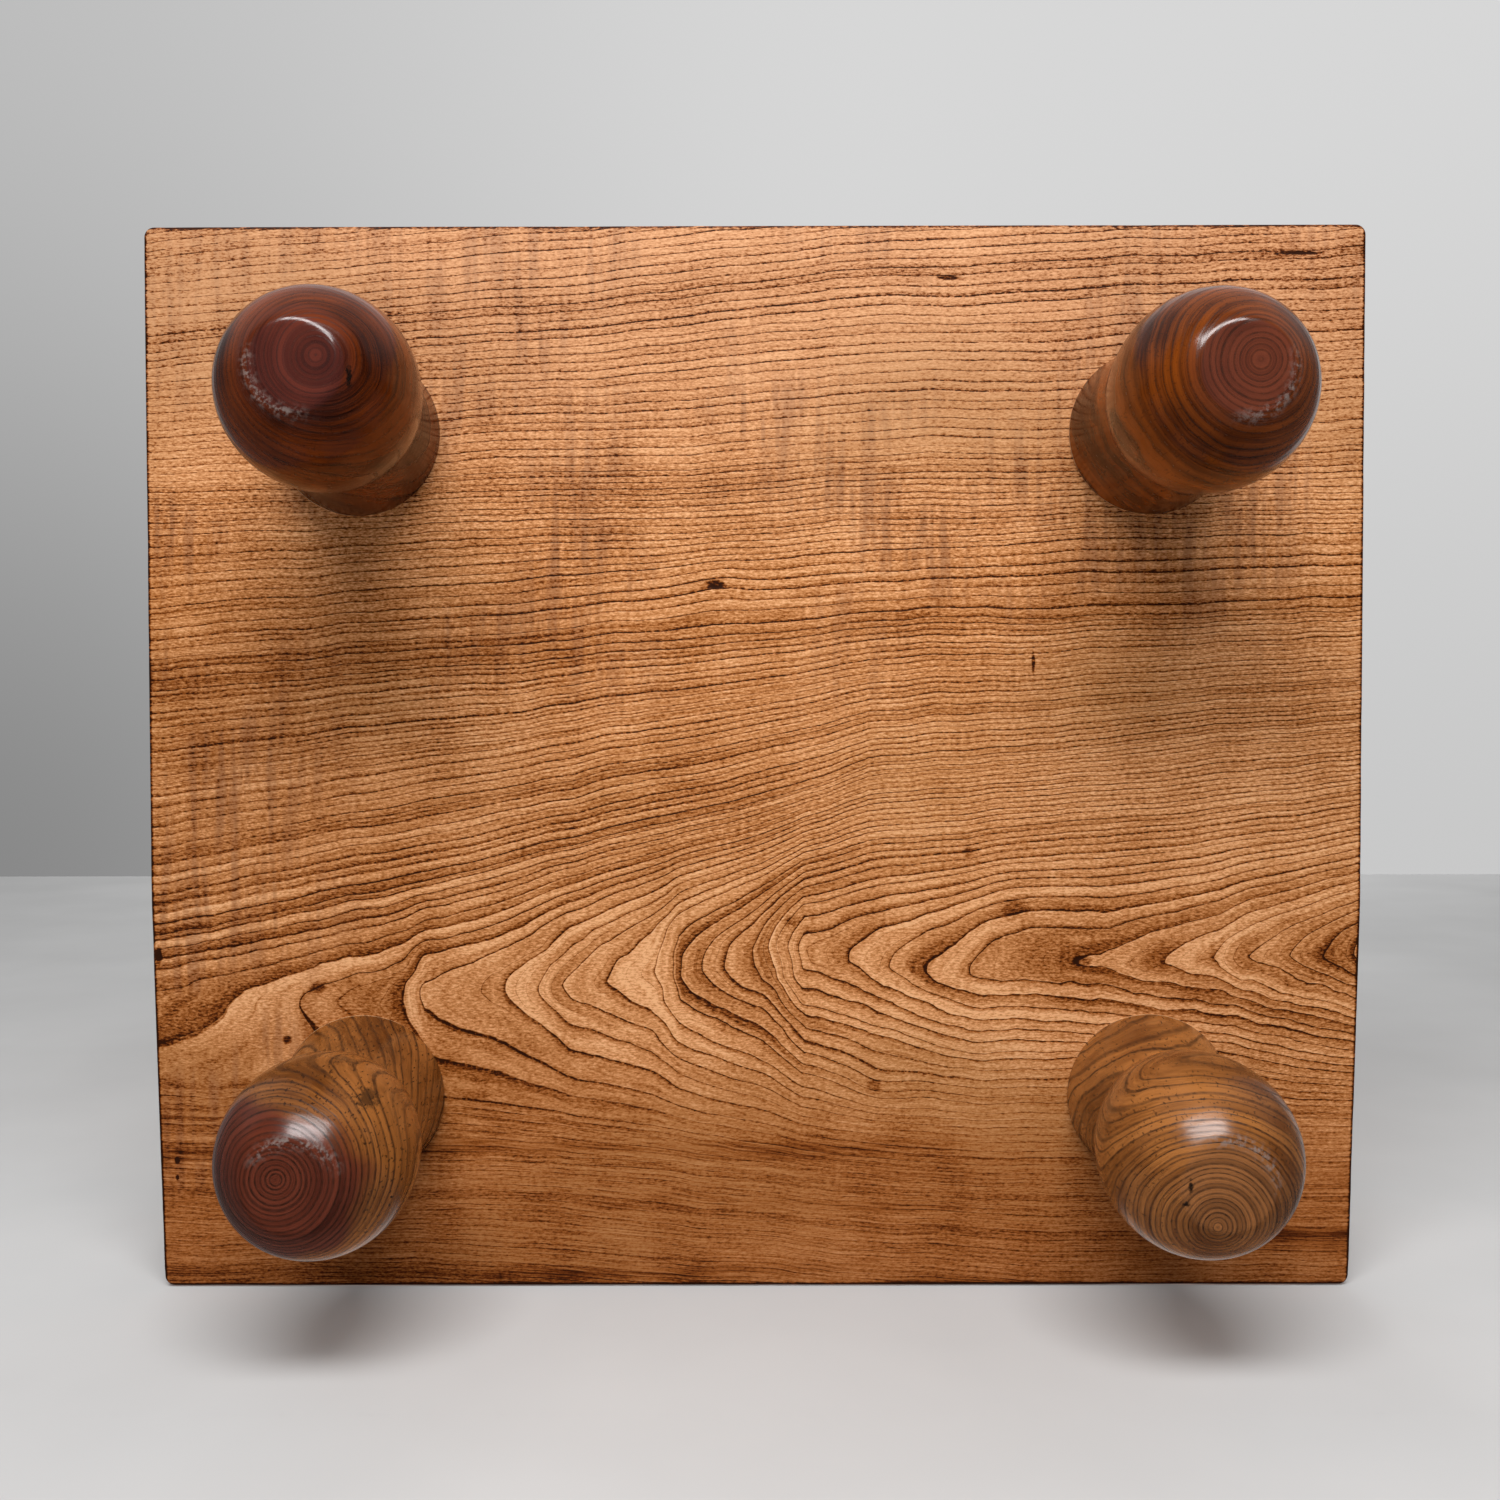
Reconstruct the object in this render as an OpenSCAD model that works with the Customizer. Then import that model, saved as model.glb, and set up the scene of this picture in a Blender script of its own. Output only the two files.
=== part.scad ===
// Go board on four turned legs: one thick block of wood, each leg a push fit in a blind mortise.
// The board stands on its feet at z = 0. X runs along the grain, Y across it.

/* [Board] */
// Length of the block along the grain
board_length = 485; // [455:1:560]
// Width of the block across the grain
board_width = 424; // [415:1:520]
// Thickness of the block
board_thickness = 121; // [60:1:180]
// Radius of the upright corners
corner_radius = 4; // [2:0.5:12]
// Chamfer along the top and bottom edges
edge_chamfer = 1.2; // [0.4:0.1:1.8]
// How far each end draws in at the rear edge
end_taper = 3.8; // [0:0.2:8]
// Length of the drawn-in stretch of each end
end_taper_length = 155; // [60:5:220]

/* [Leg places] */
// From each end of the block to the leg axes
end_inset = 85; // [60:1:110]
// From the front edge to the front leg axes
front_inset = 82; // [60:1:110]
// From the rear edge to the rear leg axes
rear_inset = 77; // [60:1:110]

/* [Leg shape] */
// Height of the legs, from the floor to the underside
leg_height = 110; // [100:1:140]
// Diameter of the collar where it meets the underside
collar_diameter = 65.5; // [58:0.5:80]
// Diameter of the waist between the collar and the bulb
waist_diameter = 53; // [44:0.5:56]
// Depth of the waist below the underside
waist_drop = 39; // [30:1:48]
// Diameter of the bulb at its widest
bulb_diameter = 70; // [62:0.5:80]
// Depth of the widest part of the bulb below the underside
bulb_drop = 74; // [62:1:82]
// Diameter of the flat foot
foot_diameter = 31; // [20:0.5:40]

/* [Leg joints] */
// Diameter of the tenon on top of each leg
tenon_diameter = 34; // [20:0.5:40]
// Length of the tenon
tenon_length = 36; // [20:1:48]
// Chamfer at the tenon's end
tenon_chamfer = 1.5; // [0.5:0.1:4]
// Radial clearance of a tenon in its mortise
tenon_clearance = 0.08; // [0.02:0.01:0.1]
// Space left beyond the tenon's end
mortise_end_gap = 2; // [0.5:0.5:6]

/* [Leg lean] */
// Front left foot: degrees towards the middle of the length
front_left_inward = 4.2; // [-5:0.1:5]
// Front left foot: degrees towards the front edge
front_left_outward = 1.2; // [-5:0.1:5]
// Front right foot: degrees towards the middle of the length
front_right_inward = -1.4; // [-5:0.1:5]
// Front right foot: degrees towards the front edge
front_right_outward = 0.3; // [-5:0.1:5]
// Rear left foot: degrees towards the middle of the length
rear_left_inward = 2.3; // [-5:0.1:5]
// Rear left foot: degrees towards the rear edge
rear_left_outward = 1.6; // [-5:0.1:5]
// Rear right foot: degrees towards the middle of the length
rear_right_inward = 1.2; // [-5:0.1:5]
// Rear right foot: degrees towards the rear edge
rear_right_outward = 1.6; // [-5:0.1:5]

/* [Playing grid] */
// Number of lines each way
line_count = 19; // [9:2:19]
// Distance between lines along the length
long_pitch = 23.7; // [20:0.1:24]
// Distance between lines along the width
wide_pitch = 22; // [20:0.1:22.5]
// Width of a lacquer line
line_width = 1; // [0.6:0.1:2]
// Height of the lacquer above the wood
line_height = 0.2; // [0.1:0.05:0.4]
// Diameter of a star point
star_diameter = 4.2; // [3:0.1:7]
// Count of lines from the middle star point to the outer ones
star_line_count = 6; // [3:1:7]

/* [Hidden] */

post_sides = 32;
turned_sides = 128;
star_sides = 48;
arc_steps = 14;

top_height = leg_height + board_thickness;
collar_radius = collar_diameter / 2;
waist_radius = waist_diameter / 2;
bulb_radius = bulb_diameter / 2;
foot_radius = foot_diameter / 2;
tenon_radius = tenon_diameter / 2;

// A leaning leg is turned longer than it stands, and then trimmed flush at the underside and the floor.
trim_allowance = 4;
collar_slope = (collar_radius - waist_radius) / waist_drop;

// Where a leg stands, by its side along the length and its side across the width.
function leg_x(side) = side * (board_length / 2 - end_inset);
function leg_y(side) = side < 0 ? front_inset - board_width / 2 : board_width / 2 - rear_inset;

// Axis offset of the circle that leaves the bulb's widest ring upright and reaches a ring at the given drop.
function arc_centre(radius, drop) =
    (pow(bulb_radius, 2) - pow(radius, 2) - pow(drop - bulb_drop, 2)) / (2 * (bulb_radius - radius));

// Points of that circle between the bulb's widest ring (step 0) and the given drop (the last step).
function arc_point(radius, drop, step) =
    let (centre = arc_centre(radius, drop),
         round = bulb_radius - centre,
         angle = asin((drop - bulb_drop) / round) * step / arc_steps)
    [centre + round * cos(angle), -bulb_drop - round * sin(angle)];

// Half outline of a turned leg below the underside: a tapering collar, a waist, a bulb and a foot.
leg_outline = concat(
    [[0, trim_allowance], [collar_radius + collar_slope * trim_allowance, trim_allowance]],
    [for (step = [arc_steps:-1:0]) arc_point(waist_radius, waist_drop, step)],
    [for (step = [1:arc_steps]) arc_point(foot_radius, leg_height, step)],
    [[foot_radius, -leg_height - trim_allowance], [0, -leg_height - trim_allowance]]);

// Half outline of a tenon, rooted well inside the collar.
tenon_outline = [
    [0, -waist_drop / 2],
    [tenon_radius, -waist_drop / 2],
    [tenon_radius, tenon_length - tenon_chamfer],
    [tenon_radius - tenon_chamfer, tenon_length],
    [0, tenon_length]];

// Puts a shape on a leg's own axis, with its origin at the underside and the foot below it.
module on_leg_axis(end, edge, inward, outward) {
    translate([leg_x(end), leg_y(edge), leg_height])
        rotate([edge * outward, end * inward, 0])
            children();
}

// A turned leg, trimmed to the underside and the floor, with its tenon.
module turned_leg(end, edge, inward, outward) {
    intersection() {
        on_leg_axis(end, edge, inward, outward)
            rotate_extrude($fn = turned_sides) polygon(leg_outline);
        translate([-board_length, -board_width, 0])
            cube([2 * board_length, 2 * board_width, leg_height]);
    }
    on_leg_axis(end, edge, inward, outward)
        rotate_extrude($fn = turned_sides) polygon(tenon_outline);
}

// The blind hole that a leg's tenon pushes into.
module mortise(end, edge, inward, outward) {
    on_leg_axis(end, edge, inward, outward)
        translate([0, 0, -trim_allowance])
            cylinder(h = trim_allowance + tenon_length + mortise_end_gap,
                     r = tenon_radius + tenon_clearance, $fn = turned_sides);
}

// A round post with chamfered ends, which shapes one corner of the block.
module corner_post(x, y) {
    translate([x, y, edge_chamfer])
        cylinder(h = board_thickness - 2 * edge_chamfer, r = corner_radius, $fn = post_sides);
    translate([x, y, 0])
        cylinder(h = board_thickness, r = corner_radius - edge_chamfer, $fn = post_sides);
}

// The block before it is drilled: square at the front, its ends drawn in towards the rear.
module plain_block() {
    half_length = board_length / 2 - corner_radius;
    half_width = board_width / 2 - corner_radius;
    hull()
        for (end = [-1, 1]) {
            corner_post(end * half_length, -half_width);
            corner_post(end * half_length, board_width / 2 - end_taper_length);
            corner_post(end * (half_length - end_taper), half_width);
        }
}

// The nine star points, as flat discs.
module star_discs() {
    for (column = [-1:1], row = [-1:1])
        translate([column * star_line_count * long_pitch, row * star_line_count * wide_pitch])
            circle(d = star_diameter, $fn = star_sides);
}

module board_block() {
    color("peru")
        difference() {
            translate([0, 0, leg_height]) plain_block();
            mortise(-1, -1, front_left_inward, front_left_outward);
            mortise(1, -1, front_right_inward, front_right_outward);
            mortise(-1, 1, rear_left_inward, rear_left_outward);
            mortise(1, 1, rear_right_inward, rear_right_outward);
        }
}

module leg_front_left() {
    color("saddlebrown") turned_leg(-1, -1, front_left_inward, front_left_outward);
}

module leg_front_right() {
    color("sienna") turned_leg(1, -1, front_right_inward, front_right_outward);
}

module leg_rear_left() {
    color("chocolate") turned_leg(-1, 1, rear_left_inward, rear_left_outward);
}

module leg_rear_right() {
    color("goldenrod") turned_leg(1, 1, rear_right_inward, rear_right_outward);
}

module grid_lines() {
    long_span = (line_count - 1) * long_pitch + line_width;
    wide_span = (line_count - 1) * wide_pitch + line_width;
    color("black")
        translate([0, 0, top_height])
            linear_extrude(line_height)
                difference() {
                    for (line = [0:line_count - 1]) {
                        place = line - (line_count - 1) / 2;
                        translate([place * long_pitch, 0]) square([line_width, wide_span], center = true);
                        translate([0, place * wide_pitch]) square([long_span, line_width], center = true);
                    }
                    star_discs();
                }
}

module star_points() {
    color("black")
        translate([0, 0, top_height])
            linear_extrude(line_height) star_discs();
}

board_block();
leg_front_left();
leg_front_right();
leg_rear_left();
leg_rear_right();
grid_lines();
star_points();
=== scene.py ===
"""A go board on four turned legs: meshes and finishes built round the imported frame."""

from __future__ import annotations

import logging
import math
from dataclasses import dataclass, field
from enum import Enum, IntEnum
from functools import reduce
from typing import Iterable, NamedTuple, Sequence, Union

import bmesh
import bpy
import numpy as np
from mathutils import Euler, Matrix, Vector


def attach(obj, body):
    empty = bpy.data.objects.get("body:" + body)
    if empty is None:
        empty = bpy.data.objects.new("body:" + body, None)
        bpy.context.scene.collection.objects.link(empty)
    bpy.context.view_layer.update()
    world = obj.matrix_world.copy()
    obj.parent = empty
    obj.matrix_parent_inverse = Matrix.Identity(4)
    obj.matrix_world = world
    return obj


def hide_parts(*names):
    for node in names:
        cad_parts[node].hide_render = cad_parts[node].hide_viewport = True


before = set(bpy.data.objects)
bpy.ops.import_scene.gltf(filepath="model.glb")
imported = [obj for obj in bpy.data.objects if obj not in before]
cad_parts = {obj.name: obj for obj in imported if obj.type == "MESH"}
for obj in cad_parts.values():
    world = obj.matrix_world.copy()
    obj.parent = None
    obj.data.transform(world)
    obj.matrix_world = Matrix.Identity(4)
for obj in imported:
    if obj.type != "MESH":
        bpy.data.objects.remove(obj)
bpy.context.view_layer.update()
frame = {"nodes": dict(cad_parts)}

LOG = logging.getLogger("go_board")
MM = 0.001
IN_MM = (1000.0, 1000.0, 1000.0)

Colour = tuple[float, float, float]
Term = Union["Number", float]


def grey(level: float) -> Colour:
    """A colour without a tint."""
    return level, level, level


class Number:
    """A value on its way through a shader: Python's operators add its Math nodes."""

    def __init__(self, shader: "Shader", socket: bpy.types.NodeSocket) -> None:
        """Keeps the output socket and the shader that it belongs to."""
        self.shader = shader
        self.socket = socket

    def __add__(self, other: Term) -> "Number":
        """Sum of two values."""
        return self.shader.math("ADD", self, other)

    def __radd__(self, other: Term) -> "Number":
        """Sum with a plain number on the left."""
        return self.shader.math("ADD", other, self)

    def __sub__(self, other: Term) -> "Number":
        """Difference of two values."""
        return self.shader.math("SUBTRACT", self, other)

    def __rsub__(self, other: Term) -> "Number":
        """Difference with a plain number on the left."""
        return self.shader.math("SUBTRACT", other, self)

    def __mul__(self, other: Term) -> "Number":
        """Product of two values."""
        return self.shader.math("MULTIPLY", self, other)

    def __rmul__(self, other: Term) -> "Number":
        """Product with a plain number on the left."""
        return self.shader.math("MULTIPLY", other, self)

    def __truediv__(self, other: Term) -> "Number":
        """Quotient of two values."""
        return self.shader.math("DIVIDE", self, other)

    def __rtruediv__(self, other: Term) -> "Number":
        """Quotient with a plain number on the left."""
        return self.shader.math("DIVIDE", other, self)

    def __pow__(self, other: Term) -> "Number":
        """Power of a value that isn't negative."""
        return self.shader.math("POWER", self, other)

    def __neg__(self) -> "Number":
        """The value with its sign changed."""
        return self.shader.math("MULTIPLY", self, -1.0)

    def least(self, other: Term) -> "Number":
        """The smaller of two values."""
        return self.shader.math("MINIMUM", self, other)

    def most(self, other: Term) -> "Number":
        """The larger of two values."""
        return self.shader.math("MAXIMUM", self, other)

    def root(self) -> "Number":
        """Square root."""
        return self.shader.math("SQRT", self)

    def size(self) -> "Number":
        """The value without its sign."""
        return self.shader.math("ABSOLUTE", self)

    def part(self) -> "Number":
        """What is left after the whole number below is taken off."""
        return self.shader.math("FRACT", self)

    def whole(self) -> "Number":
        """The whole number below."""
        return self.shader.math("FLOOR", self)

    def ramp(self, low: Term, high: Term) -> "Number":
        """Straight rise from 0 at low to 1 at high, held level outside."""
        return self.shader.rise(self, low, high, "LINEAR")

    def smooth(self, low: Term, high: Term) -> "Number":
        """Smooth rise from 0 at low to 1 at high, held level outside."""
        return self.shader.rise(self, low, high, "SMOOTHSTEP")

    def hump(self, centre: float, width: float) -> "Number":
        """Bell of height 1: e to the power of minus ((value - centre) / width) squared."""
        away = (self - centre) / width
        return self.shader.math("EXPONENT", -(away * away))


class MixSocket(IntEnum):
    """Sockets of a Mix node that works on colours."""

    FACTOR = 0
    FIRST = 6
    SECOND = 7
    RESULT = 2


class Shader:
    """A node tree with one method that makes nodes and short names for the common ones."""

    def __init__(self, tree: bpy.types.NodeTree) -> None:
        """Starts with an empty tree."""
        self.tree = tree
        tree.nodes.clear()

    def add(self, kind: str, settings: dict | None = None, sockets: dict | None = None) -> bpy.types.Node:
        """Makes one node.

        Args:
            kind: Blender's name for the node type.
            settings: the node's own properties, set first; "points" fills a float curve, "stops" a ramp.
            sockets: values or links by input name or index.

        Returns:
            The new node.
        """
        node = self.tree.nodes.new(kind)
        for key, value in (settings or {}).items():
            if key == "points":
                self.fill_curve(node, value)
            elif key == "stops":
                self.fill_ramp(node, value)
            else:
                setattr(node, key, value)
        for key, value in (sockets or {}).items():
            source = value.socket if isinstance(value, Number) else value
            if isinstance(source, bpy.types.NodeSocket):
                self.tree.links.new(source, node.inputs[key])
            else:
                node.inputs[key].default_value = source
        return node

    @staticmethod
    def fill_curve(node: bpy.types.Node, points: Sequence[tuple[float, float]]) -> None:
        """Sets a float curve's points, each with both values from 0 to 1."""
        curve = node.mapping.curves[0]
        while len(curve.points) < len(points):
            curve.points.new(0.5, 0.5)
        for point, place in zip(curve.points, points):
            point.location = place
            point.handle_type = "VECTOR"
        node.mapping.update()

    @staticmethod
    def fill_ramp(node: bpy.types.Node, stops: Sequence[tuple[float, Colour]]) -> None:
        """Sets a colour ramp's stops, each a place from 0 to 1 and a colour."""
        ramp = node.color_ramp
        while len(ramp.elements) < len(stops):
            ramp.elements.new(0.5)
        for element, (place, colour) in zip(ramp.elements, stops):
            element.position = place
            element.color = (*colour, 1.0)

    def number(self, node: bpy.types.Node, output: int | str = 0) -> Number:
        """A node's output as a value."""
        return Number(self, node.outputs[output])

    def math(self, operation: str, *terms: Term) -> Number:
        """A Math node on one, two or three values."""
        return self.number(self.add("ShaderNodeMath", {"operation": operation}, dict(enumerate(terms))))

    def rise(self, value: Number, low: Term, high: Term, kind: str) -> Number:
        """A Map Range node from 0 at low to 1 at high."""
        places = {"Value": value, "From Min": low, "From Max": high}
        return self.number(self.add("ShaderNodeMapRange", {"interpolation_type": kind}, places))

    def place(self) -> bpy.types.NodeSocket:
        """Object coordinates, in metres."""
        return self.add("ShaderNodeTexCoord").outputs["Object"]

    def scaled(self, vector: bpy.types.NodeSocket, size: Sequence[float]) -> bpy.types.NodeSocket:
        """A vector with each axis multiplied by its own size."""
        return self.add("ShaderNodeVectorMath", {"operation": "MULTIPLY"}, {0: vector, 1: size}).outputs[0]

    def split(self, vector: bpy.types.NodeSocket) -> tuple[Number, Number, Number]:
        """The three parts of a vector."""
        node = self.add("ShaderNodeSeparateXYZ", None, {0: vector})
        return self.number(node, 0), self.number(node, 1), self.number(node, 2)

    def joined(self, x: Term, y: Term, z: Term) -> bpy.types.NodeSocket:
        """A vector made of three values."""
        return self.add("ShaderNodeCombineXYZ", None, {0: x, 1: y, 2: z}).outputs[0]

    def noise(self, vector: bpy.types.NodeSocket, detail: float = 2.0, rough: float = 0.5,
              scale: float = 1.0) -> Number:
        """Noise round 0, mostly from -0.3 to 0.3."""
        sockets = {"Vector": vector, "Scale": scale, "Detail": detail, "Roughness": rough}
        return self.number(self.add("ShaderNodeTexNoise", None, sockets)) - 0.5

    def cloud(self, place: bpy.types.NodeSocket, size: Sequence[float], detail: float = 2.0,
              rough: float = 0.5) -> Number:
        """Noise on a place with each axis multiplied by its own size."""
        return self.noise(self.scaled(place, size), detail, rough)

    def streaks(self, x: Term, y: Term, z: Term, detail: float = 2.0, rough: float = 0.5) -> Number:
        """Noise on a place made of three values."""
        return self.noise(self.joined(x, y, z), detail, rough)

    def lot(self, value: Number) -> Number:
        """A number from 0 to 1 drawn by chance for each whole value."""
        return self.number(self.add("ShaderNodeTexWhiteNoise", {"noise_dimensions": "1D"}, {"W": value}))

    def blend(self, share: Term, first: object, second: object, mode: str = "MIX") -> bpy.types.NodeSocket:
        """A Mix node on two colours, each a colour or a socket."""
        pair = [(*c, 1.0) if isinstance(c, tuple) else c for c in (first, second)]
        settings = {"data_type": "RGBA", "blend_type": mode, "clamp_factor": True}
        sockets = {MixSocket.FACTOR: share, MixSocket.FIRST: pair[0], MixSocket.SECOND: pair[1]}
        return self.add("ShaderNodeMix", settings, sockets).outputs[MixSocket.RESULT]

    def tones(self, share: Number, stops: Sequence[tuple[float, Colour]]) -> bpy.types.NodeSocket:
        """A Color Ramp node: the colour for a share from 0 to 1."""
        return self.add("ShaderNodeValToRGB", {"stops": stops}, {0: share}).outputs[0]

    def bump(self, height: Number, distance: float, strength: float = 1.0) -> bpy.types.NodeSocket:
        """A Bump node's normal, for a height of 0 to 1 over a distance in metres."""
        sockets = {"Height": height, "Distance": distance, "Strength": strength}
        return self.add("ShaderNodeBump", None, sockets).outputs[0]

    def output(self, surface: bpy.types.NodeSocket, kind: str = "ShaderNodeOutputMaterial") -> None:
        """Ends the tree in its output node."""
        self.add(kind, None, {"Surface": surface})

    def principled(self, sockets: dict) -> None:
        """Ends the tree in a Principled BSDF with these values and links."""
        self.output(self.add("ShaderNodeBsdfPrincipled", None, sockets).outputs[0])


def new_material(name: str) -> tuple[bpy.types.Material, Shader]:
    """An empty material and the shader that fills it."""
    material = bpy.data.materials.new(name)
    material.use_nodes = True
    return material, Shader(material.node_tree)


@dataclass(frozen=True)
class Guide:
    """A growth line on the underside: its place at the right end, its share of the tilt, its ring."""

    right: float
    tilt: float
    ring: float


@dataclass(frozen=True)
class Spot:
    """A knot, hole or crack on the underside, in mm: place, half sizes, darkness, push on the rings."""

    x: float
    y: float
    wide: float
    high: float
    dark: float
    push: float = 0.0


@dataclass(frozen=True)
class RingBand:
    """A run of rings darker than the rest, or paler if below 0: middle, half width in rings, darkness."""

    ring: float
    width: float
    dark: float


class SlabPoint(NamedTuple):
    """A point of the block on its way through a shader, in mm.

    The place is the whole point. Of its parts, x runs along the block, y across it, and depth from the
    underside into the wood.
    """

    shader: Shader
    place: bpy.types.NodeSocket
    x: Number
    y: Number
    depth: Number


@dataclass(frozen=True)
class SlabWood:
    """Ring-porous timber of the block, with a flame figure along the rear half of its underside.

    Rings are numbered from the flame outwards. Along the flame's axis they follow the tips; above it
    and below it they follow guide lines. Inside the block they bend round a heart below the underside.
    """

    length: float = 485.0
    width: float = 424.0
    thickness: float = 121.0
    underside: float = 110.0
    taper: float = 3.8
    taper_length: float = 155.0
    heart_drop: float = 70.0
    tips: tuple[float, ...] = (-171, -139, -131, -101, -86, -76, -58, -41, -35, -31, -21, -11, 1, 7, 11, 15,
                               19, 37, 54, 69, 91, 141, 162, 186, 197, 214, 227)
    guides: tuple[Guide, ...] = (
        Guide(-198, 0.40, -72), Guide(-126, 0.18, -54), Guide(-103, 0.15, -45), Guide(-89, 0.33, -38),
        Guide(-60, 0.33, -31), Guide(-44, 0.60, -23), Guide(-29, 0.80, -15), Guide(-13, 1.00, -7))
    outer_rate: float = 0.29
    lower_ring: float = 0.0
    second_ring: float = -8.0
    lower_rate: float = 0.5
    spots: tuple[Spot, ...] = (
        Spot(-176, 91, 4.0, 3.2, 0.55, 0.4), Spot(104, 60, 6.0, 4.5, 0.38, 0.7),
        Spot(14, 65, 4.0, 2.4, 0.35, 0.8), Spot(131, 81, 4.2, 2.6, 0.6, 0.2),
        Spot(47.5, 131, 3.2, 3.0, 0.4, 1.0), Spot(86, 37, 4.0, 2.0, 0.4),
        Spot(-188.5, 112, 2.0, 2.0, 0.9), Spot(-16, -70, 4.6, 2.0, 1.0, 0.6),
        Spot(77.5, -191, 5.5, 0.9, 0.9), Spot(216, -200.5, 9.0, 0.8, 0.9),
        Spot(111, -39, 0.8, 5.5, 0.8), Spot(-233, 161, 1.2, 1.6, 0.9),
        Spot(-233, 168, 0.8, 1.2, 0.8), Spot(-239.5, 78, 1.4, 4.0, 0.9))
    bands: tuple[RingBand, ...] = (
        RingBand(-72.5, 0.9, 0.55), RingBand(-51.0, 2.6, 0.35), RingBand(-31.0, 2.4, 0.42),
        RingBand(-15.0, 1.4, 0.4), RingBand(-8.0, 0.8, 0.35), RingBand(17.4, 0.8, -0.6))
    tones: tuple[tuple[float, Colour], ...] = (
        (0.0, (0.026, 0.006, 0.001)), (0.15, (0.105, 0.020, 0.002)), (0.35, (0.275, 0.080, 0.013)),
        (0.55, (0.445, 0.172, 0.053)), (0.75, (0.605, 0.268, 0.104)), (1.0, (0.800, 0.425, 0.205)))
    red: Colour = (0.29, 0.080, 0.018)
    # Pale pink of the painted sheen towards the front edge of the underside.
    painted_sheen: Colour = (0.62, 0.335, 0.190)
    olive: Colour = (0.34, 0.165, 0.052)
    smoke: Colour = (0.315, 0.140, 0.066)

    def tip_curve(self, x: Number) -> Number:
        """Ring number along the flame's axis: it passes a whole number at each tip.

        Args:
            x: place along the block in mm.

        Returns:
            The ring number.
        """
        reach, count = self.length / 2.0 + 0.5, len(self.tips)
        left_ring, right_ring = -1.6, count + 0.4
        stops = [(-reach, left_ring), *zip(self.tips, range(count)), (reach, right_ring)]
        shift, span = 2.0, count + 4.0
        points = [((place + reach) / (2.0 * reach), (ring + shift) / span) for place, ring in stops]
        curve = x.shader.add("ShaderNodeFloatCurve", {"points": points}, {"Value": x.ramp(-reach, reach)})
        return x.shader.number(curve) * span - shift

    def rings(self, at: SlabPoint) -> tuple[Number, Number]:
        """Ring number anywhere in the block, and rings per mm across the grain.

        From the axis, q is the distance across, and inside the block q grows to the root of
        q^2 + 2 * heart_drop * depth + depth^2. Above the axis the ring falls from the axis's own with
        the square of q up to the last guide, and from guide to guide in straight steps beyond it.

        Args:
            at: the point being shaded.

        Returns:
            The ring number and its rate.
        """
        x, depth = at.x, at.depth
        axis = 100.0 - 19.0 * x.smooth(-190.0, 30.0) + 6.0 * x.hump(80.0, 24.0)
        axis = axis - 2.0 * x.smooth(110.0, 230.0)
        across = axis - at.y
        reach = (across * across + depth * (depth + 2.0 * self.heart_drop) + 0.01).root()
        upper = axis - reach
        tilt = 0.1 * (200.0 - x) + 39.0 * x.ramp(45.0, -240.0) ** 0.8
        heights = [tilt * guide.tilt + guide.right for guide in self.guides]
        core = self.tip_curve(x)

        first, last = self.guides[0], self.guides[-1]
        ring = (upper - heights[0]).least(0.0) * self.outer_rate + first.ring
        steps = zip(self.guides, self.guides[1:], heights, heights[1:])
        for here, above, start, stop in steps:
            ring = ring + upper.ramp(start, stop) * (above.ring - here.ring)
        span = axis - heights[-1]
        share = (reach / span).least(1.0)
        bend = 2.0 - 0.35 * x.smooth(85.0, 190.0)
        ring = ring + (core - last.ring) * (1.0 - share ** bend)
        rate = (2.0 * (core - last.ring) * share / span).least(0.45).most(0.06)

        below = axis + reach
        line_one = 132.0 + 32.0 * x.smooth(-190.0, 110.0)
        line_two = 161.0 + 17.0 * x.smooth(-140.0, 130.0)
        near = (reach / (line_one - axis)).least(1.0)
        under = (core - self.lower_ring) * (1.0 - near ** 1.35) + self.lower_ring
        under = under + below.ramp(line_one, line_two) * (self.second_ring - self.lower_ring)
        under = under - (below - line_two).most(0.0) * self.lower_rate
        lower_rate = near.ramp(0.0, 0.5) * 0.3 + 0.06

        side = (across / reach).smooth(-0.6, 0.6)
        return under + (ring - under) * side, lower_rate + (rate - lower_rate) * side

    def warped_rings(self, at: SlabPoint) -> tuple[Number, Number]:
        """The rings with the small bends of real growth: long sways, kinks in the flame and curl.

        Args:
            at: the point being shaded.

        Returns:
            The ring number and its rate.
        """
        shader, place, x, y, depth = at
        sway = shader.cloud(place, (0.012, 0.02, 0.02))
        kink = shader.cloud(place, (0.07, 0.07, 0.07))
        curl = shader.cloud(place, (0.045, 0.004, 0.004), 1.0)
        drift = shader.cloud(place, (0.03, 0.05, 0.05), 1.0)
        flame = y.hump(90.0, 30.0)
        calm = 1.0 - 0.7 * depth.smooth(0.0, 30.0)
        warped = y + (sway * 6.0 + kink * (0.6 + flame * 5.0) + curl * 2.5) * calm
        return self.rings(at._replace(x=x + drift * flame * 14.0, y=warped))

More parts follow.
